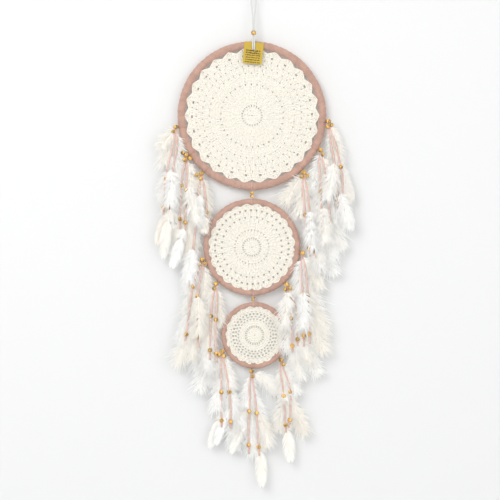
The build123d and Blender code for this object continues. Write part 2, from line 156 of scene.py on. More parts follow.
# Feathers of each pendant: kind, where the quill starts as (x, z) in mm from the cinch bead's
# centre, length, lean in degrees from straight down (positive to the right), half width, and
# the layer, in front of the laces when positive.
DOWN, VANE = "down", "vane"
FEATHERS = {
    "large_left_outer": [
        (DOWN, 0, -3, 30, -48, 11, -1), (DOWN, 0, -6, 50, -26, 13, -1), (DOWN, 2, -10, 54, 4, 12, -1),
        (DOWN, -10, -64, 40, -18, 11, -1), (DOWN, -7, -62, 52, 2, 13, 1), (DOWN, -2, -40, 56, 8, 12, -1),
        (VANE, -9, -112, 62, -17, 9, -1), (VANE, -7, -118, 74, -12, 9.5, 1),
        (VANE, -2, -122, 64, -5, 8, -1)],
    "large_left_middle": [
        (DOWN, 0, -5, 52, -14, 13, -1), (DOWN, 3, -9, 56, 8, 13, -1), (DOWN, -3, -40, 52, 2, 13, -1),
        (DOWN, 4, -44, 54, 10, 12, 1), (VANE, -6, -82, 58, -9, 9, -1), (DOWN, 1, -90, 58, 6, 13, -1),
        (VANE, -3, -106, 60, -14, 9.5, 1)],
    "large_left_inner": [
        (DOWN, -1, -5, 50, -12, 13, -1), (DOWN, 3, -8, 56, 2, 11, -1), (DOWN, -2, -30, 44, -4, 9, 1),
        (DOWN, 7, -64, 20, -8, 6, 1), (DOWN, -7, -46, 52, -7, 10, -1), (DOWN, -9, -72, 50, -14, 12, -1),
        (DOWN, -13, -110, 46, -8, 12, 1)],
    "large_right_outer": [
        (DOWN, 3, -6, 50, 16, 11, -1), (DOWN, 6, -14, 54, 6, 11, -1), (DOWN, 12, -52, 48, 14, 12, -1),
        (DOWN, 8, -60, 52, -8, 12, 1), (DOWN, 18, -78, 36, 24, 10, -1), (DOWN, 14, -96, 54, -4, 12, -1),
        (DOWN, 18, -104, 50, 12, 12, 1), (DOWN, 8, -112, 54, -14, 12, -1)],
    "large_right_middle": [
        (DOWN, 0, -5, 56, -10, 13, -1), (DOWN, 4, -9, 58, 10, 13, -1), (DOWN, 0, -46, 56, -4, 13, -1),
        (DOWN, 10, -50, 52, 16, 12, -1), (DOWN, 4, -82, 54, 4, 13, 1), (DOWN, 12, -88, 56, 22, 12, -1),
        (DOWN, 10, -106, 54, 14, 12, -1), (DOWN, 2, -112, 50, -4, 12, -1)],
    "large_right_inner": [
        (DOWN, -2, -5, 44, -38, 12, -1), (DOWN, 2, -8, 54, -6, 13, -1), (DOWN, 6, -40, 54, 10, 12, -1),
        (DOWN, 9, -56, 56, 2, 11, 1), (DOWN, 12, -86, 56, 18, 13, -1), (DOWN, 14, -104, 52, 38, 12, -1),
        (DOWN, 12, -112, 58, 8, 12, -1)],
    "middle_left_outer": [
        (DOWN, -2, -4, 46, -22, 12, -1), (DOWN, 2, -8, 52, 2, 13, -1), (DOWN, -11, -40, 50, -12, 13, -1),
        (DOWN, -6, -52, 56, 4, 13, 1), (DOWN, -17, -72, 50, -14, 11, -1), (DOWN, -12, -92, 54, -6, 13, -1),
        (DOWN, -16, -98, 58, -22, 12, -1), (DOWN, -6, -104, 56, 6, 13, -1)],
    "middle_left_inner": [
        (DOWN, -2, -5, 48, -16, 12, -1), (DOWN, 2, -8, 50, -2, 12, -1), (DOWN, -6, -40, 48, -8, 12, -1),
        (DOWN, -8, -78, 50, -12, 13, -1), (DOWN, -4, -92, 54, -2, 12, -1), (DOWN, 0, -98, 56, 14, 12, -1),
        (DOWN, -10, -104, 52, -20, 12, -1)],
    "middle_right_outer": [
        (DOWN, 2, -5, 50, 16, 12, -1), (DOWN, -2, -9, 54, -8, 12, -1), (DOWN, 6, -44, 54, 24, 13, -1),
        (DOWN, 2, -56, 54, 0, 13, 1), (DOWN, 10, -70, 52, 34, 13, -1), (DOWN, 8, -92, 56, 30, 13, -1),
        (DOWN, 4, -106, 56, 8, 13, -1), (DOWN, 0, -112, 52, -10, 12, -1)],
    "middle_right_inner": [
        (DOWN, 4, -5, 46, 14, 12, -1), (DOWN, 4, -10, 50, -14, 12, 1), (DOWN, 8, -34, 50, 10, 13, -1),
        (DOWN, 4, -46, 52, -8, 12, -1), (DOWN, 14, -62, 52, 22, 13, -1), (DOWN, 9, -80, 56, 8, 13, -1),
        (DOWN, 16, -84, 54, 36, 12, -1)],
    "small_left": [
        (DOWN, -2, -4, 42, -30, 11, -1), (DOWN, 3, -7, 46, 12, 11, -1), (DOWN, -2, -38, 46, -12, 12, -1),
        (DOWN, 8, -44, 50, 8, 13, -1), (DOWN, 12, -60, 52, 18, 13, -1), (VANE, 2, -86, 58, -22, 8, -1),
        (VANE, 11, -84, 56, -28, 8, -1), (DOWN, 12, -92, 48, 4, 12, -1)],
    "small_right": [
        (DOWN, 3, -4, 46, 26, 11, -1), (DOWN, 1, -8, 50, 2, 11, -1), (DOWN, 6, -34, 50, 14, 12, -1),
        (DOWN, 4, -52, 50, -8, 12, -1), (DOWN, 14, -58, 54, 26, 11, -1), (VANE, 8, -86, 62, 6, 10, -1),
        (VANE, 4, -62, 56, 40, 7, -1)],
    "small_bottom": [
        (DOWN, 4, -3, 40, 62, 12, -1), (DOWN, 0, -6, 44, -6, 12, -1), (DOWN, 6, -34, 52, 10, 13, -1),
        (DOWN, -4, -38, 54, -12, 13, -1), (DOWN, 10, -62, 46, 24, 12, -1), (DOWN, 1, -70, 48, -2, 13, -1),
        (VANE, 11, -98, 70, 5, 9.5, -1), (VANE, -6, -78, 48, -38, 7, -1)],
}


# --- settings ---------------------------------------------------------------------------------

def linear(hex_code):
    """An sRGB hex colour as linear light: each part is divided by 12.92 up to 0.04045, and above
    it follows the power 2.4."""
    parts = np.array([int(hex_code[i:i + 2], 16) for i in (1, 3, 5)]) / 255
    return tuple(float(x) for x in
                 np.where(parts <= 0.04045, parts / 12.92, ((parts + 0.055) / 1.055) ** 2.4))


def colour(label, hex_code):
    """A colour that a user can change."""
    return bpy.props.FloatVectorProperty(name=label, description=f"{label}, in linear light", size=3,
                                         subtype="COLOR", min=0, max=1, default=linear(hex_code))


def size(label, description, millimetres):
    """A length that a user can change."""
    return bpy.props.FloatProperty(name=label, description=description, unit="LENGTH", min=0,
                                   default=millimetres * MM)


class DreamCatcherSizes(bpy.types.PropertyGroup):
    """The sizes of what is made round the CAD frame."""

    yarn_width: size("Yarn", "Width of one post stitch in a doily", 1.75)
    lace_width: size("Lace width", "Width of the flat suede lace", 2.5)
    lace_thickness: size("Lace thickness", "Thickness of the flat suede lace", 1.2)
    cord_width: size("Cord", "Diameter of the twisted hanging cord", 2.2)
    strip_width: size("Suede strip", "Width of strip that each turn of the wrap shows", 8.0)
    barb_width: size("Barb", "Width of one feather barb at its root", 0.64)


class DreamCatcherColours(bpy.types.PropertyGroup):
    """The colours of the materials."""

    suede: colour("Suede wrap", "#B29082")
    lace: colour("Suede lace", "#D2B2A8")
    yarn: colour("Crochet cotton", "#F7F3E8")
    cord: colour("Hanging cord", "#CFCFCC")
    feather: colour("Feather", "#FEFCF8")
    bead: colour("Amber bead", "#E0AE50")
    card: colour("Label card", "#BCA03E")
    rattan: colour("Rattan", "#C7A777")
    wall: colour("Wall", "#D9DADA")


# --- mesh kit ---------------------------------------------------------------------------------

def make_object(name, points, quads, tris, tone=None):
    """A mesh object at the origin from arrays of points and faces, with a tone for each point."""
    mesh = bpy.data.meshes.new(name)
    mesh.vertices.add(len(points))
    mesh.vertices.foreach_set("co", np.asarray(points, dtype=np.float32).ravel())
    corners = np.concatenate([quads.ravel(), tris.ravel()]).astype(np.int32)
    mesh.loops.add(len(corners))
    mesh.loops.foreach_set("vertex_index", corners)
    starts = np.concatenate([np.arange(len(quads)) * 4, quads.size + np.arange(len(tris)) * 3])
    mesh.polygons.add(len(starts))
    mesh.polygons.foreach_set("loop_start", starts.astype(np.int32))
    mesh.polygons.foreach_set("use_smooth", np.ones(len(starts), dtype=bool))
    if tone is not None:
        layer = mesh.attributes.new("tone", "FLOAT", "POINT")
        layer.data.foreach_set("value", np.asarray(tone, dtype=np.float32))
    mesh.update(calc_edges=True)
    if mesh.validate():
        raise RuntimeError(f"{name}: the mesh had faults")
    thing = bpy.data.objects.new(name, mesh)
    bpy.context.scene.collection.objects.link(thing)
    return thing


class Shape:
    """Gathers surfaces, and puts them in one mesh."""

    def __init__(self):
        self.points, self.quads, self.tris, self.tones, self.count = [], [], [], [], 0

    def add(self, surface, tone=0.5):
        """Adds a surface, given as its points, four-sided faces and three-sided faces."""
        points, quads, tris = surface
        self.points.append(points)
        self.quads.append(quads + self.count)
        self.tris.append(tris + self.count)
        self.tones.append(np.broadcast_to(tone, (len(points),)) if np.ndim(tone) == 0 else tone)
        self.count += len(points)

    def finish(self, name, body, slot, material, replaces=()):
        """The mesh object, riding on its body, with its material, in place of CAD nodes."""
        thing = make_object(name, np.concatenate(self.points), np.concatenate(self.quads),
                            np.concatenate(self.tris), np.concatenate(self.tones))
        thing.data.materials.append(material)
        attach(thing, body)
        if replaces:
            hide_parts(*replaces)
        return thing


def unit(vectors):
    """Each vector over its own length."""
    return vectors / np.maximum(np.linalg.norm(vectors, axis=-1, keepdims=True), 1e-12)


def carry(paths, across, through, twist=0.0, up=(0.0, 1.0, 0.0)):
    """A closed section carried along each path: point k of ring i stands at the path's point plus
    across(k) along the ring's side and through(k) along its lift, both turned by the twist. The
    side is the path's direction crossed with up, and the lift is the side crossed with the
    direction. paths is (tubes, rings, 3), and the section fits (tubes, rings, corners)."""
    count, rings, _ = paths.shape
    way = unit(np.gradient(paths, axis=1))
    side = unit(np.cross(way, np.asarray(up)))
    lift = np.cross(side, way)
    across, through = np.broadcast_arrays(across, through)
    corners = across.shape[-1]
    across = np.broadcast_to(across, (count, rings, corners))
    through = np.broadcast_to(through, (count, rings, corners))
    turn = np.broadcast_to(twist, (count, rings))[..., None]
    one = across * np.cos(turn) - through * np.sin(turn)
    two = across * np.sin(turn) + through * np.cos(turn)
    points = (paths[:, :, None, :] + one[..., None] * side[:, :, None, :]
              + two[..., None] * lift[:, :, None, :]).reshape(-1, 3)
    tube = np.arange(count)[:, None, None] * rings * corners
    ring = np.arange(rings - 1)[None, :, None] * corners
    here = np.arange(corners)[None, None, :]
    after = (here + 1) % corners
    quads = np.stack([tube + ring + here, tube + ring + corners + here,
                      tube + ring + corners + after, tube + ring + after], -1).reshape(-1, 4)
    fan = np.arange(1, corners - 1)[None, :]
    first = tube[:, :, 0]
    last = first + (rings - 1) * corners
    tris = np.concatenate([
        np.stack([first + 0 * fan, first + fan, first + fan + 1], -1).reshape(-1, 3),
        np.stack([last + 0 * fan, last + fan + 1, last + fan], -1).reshape(-1, 3)])
    return points, quads, tris


def diamond(half_width, half_depth):
    """A four-cornered section, from a half width and a half depth for each ring."""
    half_width, half_depth = np.asarray(half_width)[..., None], np.asarray(half_depth)[..., None]
    across = half_width * np.array([1.0, 0.0, -1.0, 0.0])
    through = half_depth * np.array([0.0, 1.0, 0.0, -1.0])
    return across, through


def rounded_strip(width, depth, corners=12):
    """A rounded rectangle: the square root of the cosine and of the sine, with their signs."""
    angle = np.arange(corners) * 2 * math.pi / corners + math.pi / corners
    across = np.sign(np.cos(angle)) * np.sqrt(np.abs(np.cos(angle))) * width / 2
    through = np.sign(np.sin(angle)) * np.sqrt(np.abs(np.sin(angle))) * depth / 2
    return across, through


def ring_place(ring):
    """The hoop's centre, the radius to the rod's middle and the radius over the suede, from the
    box of its CAD wrap."""
    low, high = (np.array(corner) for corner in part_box(f"{ring}_suede_wrap"))
    over = (high[1] - low[1]) / 2
    return (low + high) / 2, (high[0] - low[0]) / 2 - over, over


def on_ring(centre, radius, angle, y=0.0):
    """Points at a radius and an angle, clockwise from the top, round a hoop's centre."""
    radius, angle, y = np.broadcast_arrays(radius, angle, y)
    return np.stack([centre[0] + radius * np.sin(angle), centre[1] + y,
                     centre[2] + radius * np.cos(angle)], -1)


# --- materials --------------------------------------------------------------------------------

def add_node(tree, kind, settings=(), inputs=()):
    """Adds a node, with its own settings, and gives its inputs a value or a link."""
    node = tree.nodes.new(kind)
    for name, value in dict(settings).items():
        setattr(node, name, value)
    for name, value in dict(inputs).items():
        if isinstance(value, bpy.types.NodeSocket):
            tree.links.new(value, node.inputs[name])
        else:
            node.inputs[name].default_value = value
    return node


def shade(base, factor):
    """A colour made lighter or darker by a factor, with its alpha."""
    return tuple(min(1.0, part * factor) for part in base) + (1.0,)


def start_material(name):
    """An empty material with its Object coordinates, principled shader and output."""
    material = bpy.data.materials.new(name)
    material.use_nodes = True
    tree = material.node_tree
    tree.nodes.clear()
    place = add_node(tree, "ShaderNodeTexCoord").outputs["Object"]
    shader = add_node(tree, "ShaderNodeBsdfPrincipled")
    add_node(tree, "ShaderNodeOutputMaterial", (), {"Surface": shader.outputs[0]})
    return material, tree, place, shader


def set_shader(shader, **values):
    """Sets the shader's own sockets, named with underscores for spaces."""
    for name, value in values.items():
        shader.inputs[name.replace("_", " ")].default_value = value


def napped_suede(name, base, nap, blotch):
    """Split suede, brushed: blotches a strip wide where the nap lies another way, and fine nap.
    The nap is drawn at about 1 mm, coarser than the real 0.2 mm, so that it shows."""
    material, tree, place, shader = start_material(name)
    coarse = add_node(tree, "ShaderNodeTexNoise", (), {
        "Vector": place, "Scale": 1 / (blotch * MM), "Detail": 3.0, "Roughness": 0.6})
    fine = add_node(tree, "ShaderNodeTexNoise", (), {
        "Vector": place, "Scale": 1 / (nap * MM), "Detail": 2.0, "Roughness": 0.7})
    both = add_node(tree, "ShaderNodeMath", {"operation": "MULTIPLY_ADD"}, {
        0: fine.outputs["Fac"], 1: 0.45, 2: coarse.outputs["Fac"]})
    ramp = add_node(tree, "ShaderNodeValToRGB", (), {"Fac": both.outputs[0]})
    ramp.color_ramp.elements[0].position, ramp.color_ramp.elements[1].position = 0.5, 0.95
    ramp.color_ramp.elements[0].color = shade(base, 0.84)
    ramp.color_ramp.elements[1].color = shade(base, 1.12)
    bump = add_node(tree, "ShaderNodeBump", (), {
        "Height": fine.outputs["Fac"], "Strength": 0.5, "Distance": 0.0004})
    tree.links.new(ramp.outputs["Color"], shader.inputs["Base Color"])
    tree.links.new(bump.outputs["Normal"], shader.inputs["Normal"])
    set_shader(shader, Roughness=0.94, Sheen_Weight=0.35, Sheen_Roughness=0.5,
               Specular_IOR_Level=0.2)
    return material


def spun_cotton(name, base, fibre, contrast):
    """Mercerised cotton, spun and plied: a soft thread sheen over fine, uneven fibre, which is
    drawn about 1 mm wide so that it shows."""
    material, tree, place, shader = start_material(name)
    noise = add_node(tree, "ShaderNodeTexNoise", (), {
        "Vector": place, "Scale": 1 / (fibre * MM), "Detail": 3.0, "Roughness": 0.6})
    ramp = add_node(tree, "ShaderNodeValToRGB", (), {"Fac": noise.outputs["Fac"]})
    ramp.color_ramp.elements[0].position, ramp.color_ramp.elements[1].position = 0.3, 0.7
    ramp.color_ramp.elements[0].color = shade(base, 1 - contrast)
    ramp.color_ramp.elements[1].color = shade(base, 1.04)
    bump = add_node(tree, "ShaderNodeBump", (), {
        "Height": noise.outputs["Fac"], "Strength": 0.4, "Distance": 0.0003})
    tree.links.new(ramp.outputs["Color"], shader.inputs["Base Color"])
    tree.links.new(bump.outputs["Normal"], shader.inputs["Normal"])
    set_shader(shader, Roughness=0.72, Sheen_Weight=0.25, Specular_IOR_Level=0.3)
    return material


def washed_down(name, base):
    """Washed goose down and body feather: matt keratin barbs, a little greyer at the root and in
    the vane's darker streaks, from the tone that each barb carries."""
    material, tree, place, shader = start_material(name)
    tone = add_node(tree, "ShaderNodeAttribute", {"attribute_name": "tone"})
    ramp = add_node(tree, "ShaderNodeValToRGB", (), {"Fac": tone.outputs["Fac"]})
    ramp.color_ramp.elements[0].color = shade((base[0], base[1] * 0.95, base[2] * 0.88), 0.84)
    ramp.color_ramp.elements[1].color = shade(base, 1.05)
    ramp.color_ramp.elements.new(0.5).color = shade((base[0], base[1] * 0.965, base[2] * 0.9), 0.97)
    noise = add_node(tree, "ShaderNodeTexNoise", (), {
        "Vector": place, "Scale": 1 / (1.2 * MM), "Detail": 2.0})
    bump = add_node(tree, "ShaderNodeBump", (), {
        "Height": noise.outputs["Fac"], "Strength": 0.1, "Distance": 0.0001})
    tree.links.new(ramp.outputs["Color"], shader.inputs["Base Color"])
    tree.links.new(bump.outputs["Normal"], shader.inputs["Normal"])
    set_shader(shader, Roughness=0.85, Sheen_Weight=0.5, Specular_IOR_Level=0.15)
    return material


def polished_bead(name, base):
    """Turned and lacquered bead of an amber colour: streaks about 3 mm wide and twice as long, from
    honey to brown, under a clear, glossy coat."""
    material, tree, place, shader = start_material(name)
    grain = add_node(tree, "ShaderNodeMapping", (), {"Vector": place, "Scale": (1.0, 1.0, 0.45)})
    noise = add_node(tree, "ShaderNodeTexNoise", (), {
        "Vector": grain.outputs[0], "Scale": 1 / (3.4 * MM), "Detail": 3.0, "Distortion": 0.6})
    ramp = add_node(tree, "ShaderNodeValToRGB", (), {"Fac": noise.outputs["Fac"]})
    ramp.color_ramp.elements[0].position, ramp.color_ramp.elements[1].position = 0.36, 0.66
    ramp.color_ramp.elements[0].color = shade(base, 0.2)
    ramp.color_ramp.elements[1].color = shade(base, 1.3)
    tree.links.new(ramp.outputs["Color"], shader.inputs["Base Color"])
    set_shader(shader, Roughness=0.25, IOR=1.5, Coat_Weight=0.7, Coat_Roughness=0.08)
    return material


def printed_card(name, base):
    """Uncoated card with generic printing: rows of short strokes 3.4 mm apart stand for text, and
    are bolder in the upper half, under a plain band. The ink is flat, and the card's own fibre
    shows faintly."""
    material, tree, place, shader = start_material(name)
    centre = (Vector(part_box("label_tag")[0]) + Vector(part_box("label_tag")[1])) / 2
    turned = add_node(tree, "ShaderNodeMapping", {"vector_type": "TEXTURE"}, {
        "Vector": place, "Location": centre, "Rotation": (0, math.radians(6), 0)})
    parts = add_node(tree, "ShaderNodeSeparateXYZ", (), {0: turned.outputs[0]})
    across, up = parts.outputs["X"], parts.outputs["Z"]
    row = add_node(tree, "ShaderNodeMath", {"operation": "PINGPONG"}, {0: up, 1: 1.7 * MM})
    bold = add_node(tree, "ShaderNodeMath", {"operation": "GREATER_THAN"}, {0: up, 1: -2.0 * MM})
    thick = add_node(tree, "ShaderNodeMath", {"operation": "MULTIPLY_ADD"}, {
        0: bold.outputs[0], 1: 0.4 * MM, 2: 0.8 * MM})
    in_row = add_node(tree, "ShaderNodeMath", {"operation": "LESS_THAN"}, {
        0: row.outputs[0], 1: thick.outputs[0]})
    flat = add_node(tree, "ShaderNodeMapping", (), {"Vector": turned.outputs[0],
                                                    "Scale": (700.0, 0.0, 294.0)})
    word = add_node(tree, "ShaderNodeTexNoise", (), {
        "Vector": flat.outputs[0], "Scale": 1.0, "Detail": 1.0})
    strokes = add_node(tree, "ShaderNodeMath", {"operation": "GREATER_THAN"}, {
        0: word.outputs["Fac"], 1: 0.45})
    low = add_node(tree, "ShaderNodeMath", {"operation": "LESS_THAN"}, {0: up, 1: 5.0 * MM})
    aside = add_node(tree, "ShaderNodeMath", {"operation": "ABSOLUTE"}, {0: across})
    inside = add_node(tree, "ShaderNodeMath", {"operation": "LESS_THAN"}, {
        0: aside.outputs[0], 1: 11.0 * MM})
    ink = in_row
    for mask in (strokes, low, inside):
        ink = add_node(tree, "ShaderNodeMath", {"operation": "MULTIPLY"}, {
            0: ink.outputs[0], 1: mask.outputs[0]})
    fibre = add_node(tree, "ShaderNodeTexNoise", (), {
        "Vector": place, "Scale": 1 / (6 * MM), "Detail": 4.0})
    paper = add_node(tree, "ShaderNodeValToRGB", (), {"Fac": fibre.outputs["Fac"]})
    paper.color_ramp.elements[0].color = shade(base, 0.8)
    paper.color_ramp.elements[1].color = shade(base, 1.12)
    mix = add_node(tree, "ShaderNodeMix", {"data_type": "RGBA"}, {
        0: ink.outputs[0], 6: paper.outputs["Color"], 7: (0.09, 0.055, 0.02, 1.0)})
    tree.links.new(mix.outputs[2], shader.inputs["Base Color"])
    set_shader(shader, Roughness=0.7, Specular_IOR_Level=0.3)
    return material


def bare_rattan(name, base):
    """Peeled rattan: straw-coloured, with streaks 2 mm wide. It is hidden in the wrap."""
    material, tree, place, shader = start_material(name)
    noise = add_node(tree, "ShaderNodeTexNoise", (), {"Vector": place, "Scale": 1 / (2 * MM)})
    ramp = add_node(tree, "ShaderNodeValToRGB", (), {"Fac": noise.outputs["Fac"]})
    ramp.color_ramp.elements[0].color = linear("#9A7A52") + (1.0,)
    ramp.color_ramp.elements[1].color = shade(base, 1.0)
    tree.links.new(ramp.outputs["Color"], shader.inputs["Base Color"])
    set_shader(shader, Roughness=0.7)
    return material


def painted_plaster(name, base, see_through_back):
    """Rolled emulsion paint on plaster: matt, with a faint roller texture of 3 mm. Seen from
    behind, the wall is clear and lets light through, so the ornament's back can be looked at."""
    material, tree, place, shader = start_material(name)
    noise = add_node(tree, "ShaderNodeTexNoise", (), {
        "Vector": place, "Scale": 1 / (3 * MM), "Detail": 2.0})
    bump = add_node(tree, "ShaderNodeBump", (), {
        "Height": noise.outputs["Fac"], "Strength": 0.05, "Distance": 0.0002})
    tree.links.new(bump.outputs["Normal"], shader.inputs["Normal"])
    shader.inputs["Base Color"].default_value = tuple(base) + (1.0,)
    set_shader(shader, Roughness=0.9, Specular_IOR_Level=0.2)
    if see_through_back:
        side = add_node(tree, "ShaderNodeNewGeometry")
        ray = add_node(tree, "ShaderNodeLightPath")
        clear = add_node(tree, "ShaderNodeBsdfTransparent")
        either = add_node(tree, "ShaderNodeMath", {"operation": "MAXIMUM"}, {
            0: side.outputs["Backfacing"], 1: ray.outputs["Is Shadow Ray"]})
        mix = add_node(tree, "ShaderNodeMixShader", (), {
            0: either.outputs[0], 1: shader.outputs[0], 2: clear.outputs[0]})
        end = next(node for node in tree.nodes if node.type == "OUTPUT_MATERIAL")
        tree.links.new(mix.outputs[0], end.inputs["Surface"])
    return material


# Each kind of surface: the function that makes it, its colour's name, and the function's values.
FINISHES = {
    "brushed_suede_wrap": (napped_suede, "suede", 1.0, 9.0),
    "brushed_suede_lace": (napped_suede, "lace", 0.9, 7.0),
    "crochet_cotton_yarn": (spun_cotton, "yarn", 1.1, 0.16),
    "plied_cotton_cord": (spun_cotton, "cord", 0.8, 0.2),
    "washed_feather": (washed_down, "feather"),
    "lacquered_bead": (polished_bead, "bead"),
    "printed_card": (printed_card, "card"),
    "peeled_rattan": (bare_rattan, "rattan"),
    "painted_wall": (painted_plaster, "wall", True),
    "painted_floor": (painted_plaster, "wall", False),
}


def finish_of(kind):
    """The material of a kind of surface, made the first time that it is asked for."""
    kept = bpy.data.materials.get(kind)
    if kept:
        return kept
    make, tint, *values = FINISHES[kind]
    return make(kind, getattr(bpy.context.scene.dream_catcher_colours, tint), *values)


def dress(node, kind):
    """Gives a CAD node its finish."""
    data = frame["nodes"][node].data
    if not data.materials:
        data.materials.append(finish_of(kind))
    for number in range(len(data.materials)):
        data.materials[number] = finish_of(kind)


# --- cords and laces --------------------------------------------------------------------------

def routed(points, weights, steps):
    """The points along one open NURBS line of order 3, through its two end points and tangent to
    each run between its control points, which are in metres."""
    curve = bpy.data.curves.new("route", "CURVE")
    curve.dimensions = "3D"
    spline = curve.splines.new("NURBS")
    spline.points.add(len(points) - 1)
    spline.points.foreach_set("co", np.column_stack([points, weights]).ravel())
    spline.order_u = 3
    spline.use_endpoint_u = True
    spline.resolution_u = steps
    holder = bpy.data.objects.new("route", curve)
    bpy.context.scene.collection.objects.link(holder)
    bpy.context.view_layer.update()
    line = bpy.data.meshes.new_from_object(holder)
    route = np.empty(len(line.vertices) * 3)
    line.vertices.foreach_get("co", route)
    bpy.data.objects.remove(holder)
    bpy.data.curves.remove(curve)
    bpy.data.meshes.remove(line)
    return route.reshape(-1, 3)


def even(route, count):
    """The route again with its points the same distance apart."""
    run = np.concatenate([[0], np.cumsum(np.linalg.norm(np.diff(route, axis=0), axis=1))])
    places = np.linspace(0, run[-1], count)
    return np.stack([np.interp(places, run, route[:, axis]) for axis in range(3)], -1)


def make_hanging_cord():
    """The doubled cotton cord, of three plies: the section's radius is 0.84 of full size plus 0.2
    times the size of the cosine of 1.5 times the angle, and it turns once in PLY_TURN."""
    width = bpy.context.scene.dream_catcher_sizes.cord_width
    leg = np.array([(1.2, 7.15, -72.25), (1.2, 7.15, -85.15), (1.2, -9.35, -85.15),
                    (1.2, -4.14, -37.1), (4.6, -1.095, -9.0)]) * MM
    left = leg * (-1, 1, 1)
    loop = np.array([(-3.2, 0, 1.1), (3.2, 0, 1.1)]) * MM
    points = np.concatenate([left, loop, leg[::-1]])
    weights = np.array([1, 1, 3, 4, 1, 1, 1, 1, 4, 3, 1, 1])
    route = even(routed(points, weights, 16), 460)
    run = np.linspace(0, CORD_LENGTH * MM, len(route))[:, None]
    corner = np.arange(18) * 2 * math.pi / 18
    turn = run * 2 * math.pi / (PLY_TURN * MM)
    radius = width / 2 * (0.84 + 0.2 * np.abs(np.cos(1.5 * (corner - turn))))
    shape = Shape()
    shape.add(carry(route[None], radius * np.cos(corner), radius * np.sin(corner), 0.0, (1, 0, 0)))
    cord = shape.finish("twisted_hanging_cord", "hanger", "cotton_cord",
                        finish_of("plied_cotton_cord"), ["hanging_cord"])
    dress("cord_knot", "plied_cotton_cord")


def pendant_home(name):
    """The cinch bead's centre, straight under the pendant's hinge."""
    for joint in frame["record"]["behaviour"]["joints"]:
        if joint["name"] == f"{name}_swing":
            return np.array(joint["pos_m"]) - (0, 0, HINGE_TO_BEAD * MM)
    raise RuntimeError(f"{name} has no hinge")


def strand_depth(name):
    """Where a pendant's strands hang along Y: under the cinch bead, or before the hoop below."""
    return min(pendant_home(name)[1], -STRAND_FORWARD[name.split("_")[0]] * MM)


def strand_controls(name, number):
    """The control points of one strand, from the cinch bead down."""
    home, depth = pendant_home(name), strand_depth(name)
    side = (-1, 1)[number]
    top = home + np.array([(side * 1.2, 0, 3.04), (side * 1.3, 0, -8.0)]) * MM
    down = np.array([(home[0] + x * MM, depth, home[2] + z * MM)
                     for x, z in STRANDS[name][number][1]])
    return np.concatenate([top, down])


def knot_round(spot, way, width):
    """An overhand knot drawn tight: a ring of lace round the strand, slightly tilted, whose
    radius is 0.6 of the lace's width."""
    side = unit(np.cross(way, (0.0, 1.0, 0.3)))
    other = np.cross(way, side)
    angle = np.linspace(0, 2 * math.pi, 11)[:, None]
    path = spot + 0.6 * width * (np.cos(angle) * side + np.sin(angle) * other)
    path = path + way * 0.35 * width * np.cos(angle)
    corner = np.arange(6) * math.pi / 3
    thick = 0.42 * width
    return carry(path[None], thick * np.cos(corner), thick * np.sin(corner), 0.0, way)


def make_laces():
    """The flat suede strands: a rounded strip carried along each route. It leaves the cinch bead
    on edge, and then turns to the front in a slow wave. A knot holds each strand's last bead."""
    sizes = bpy.context.scene.dream_catcher_sizes
    draw = np.random.default_rng(11)
    for name, strands in STRANDS.items():
        for number, (length, _) in enumerate(strands):
            controls = strand_controls(name, number)
            route = even(routed(controls, np.ones(len(controls)), 12), 56)
            share = np.linspace(0, 1, len(route))
            wave = draw.uniform(0.25, 0.6) * np.sin(share * draw.uniform(5, 9) + draw.uniform(0, 6))
            turn = math.pi / 2 * np.clip(1 - share / 0.14, 0, 1) + wave * np.clip(share * 4, 0, 1)
            across, through = rounded_strip(sizes.lace_width, sizes.lace_thickness)
            swell = 1 + 0.06 * np.sin(share * 40 + draw.uniform(0, 6))[None, :, None]
            shape = Shape()
            shape.add(carry(route[None], across * swell, through * swell, turn[None]))
            last = controls[-2] + (controls[-1] - controls[-2]) * END_BEAD_AT
            way = unit(controls[-1] - controls[-2])
            shape.add(knot_round(last + way * 4.4 * MM, way, LACE_AS_ROUND * MM))
            lace = shape.finish(f"{name}_strand_{number + 1}", f"pendant_{name}", "suede_lace",
                                finish_of("brushed_suede_lace"), [f"{name}_lace"])
    for ring in RINGS:
        dress(f"{ring}_lace_hitches", "brushed_suede_wrap")


# --- beads ------------------------------------------------------------------------------------

# Beads that crowd round the cinch bead, in mm from its centre: x, z and diameter.
CLUSTERS = {
    "large_left_middle": [(-5.2, 3.4, 6.0), (5.4, -4.8, 6.6), (-2.2, -7.0, 6.2)],
    "large_left_inner": [(-7.0, -2.6, 6.6), (-1.4, -7.4, 5.8)],
    "large_left_outer": [(-4.0, -6.2, 5.6)],
    "large_right_outer": [(-1.6, -8.0, 6.4), (4.4, -5.4, 5.8)],
    "large_right_middle": [(3.0, -6.8, 5.8)],
    "large_right_inner": [(5.0, -5.2, 6.2), (-3.2, -6.6, 6.0)],
    "middle_left_outer": [(-3.4, -6.4, 6.2), (3.8, -6.0, 5.8)],
    "middle_left_inner": [(-3.0, -6.8, 6.0)],
    "middle_right_inner": [(4.6, -5.6, 6.2), (-2.4, -7.2, 5.8)],
    "small_left": [(-4.6, -5.2, 6.2), (2.8, -6.8, 5.8)],
    "small_right": [(3.4, -6.6, 6.0)],
    "small_bottom": [(2.0, -7.4, 5.6)],
}


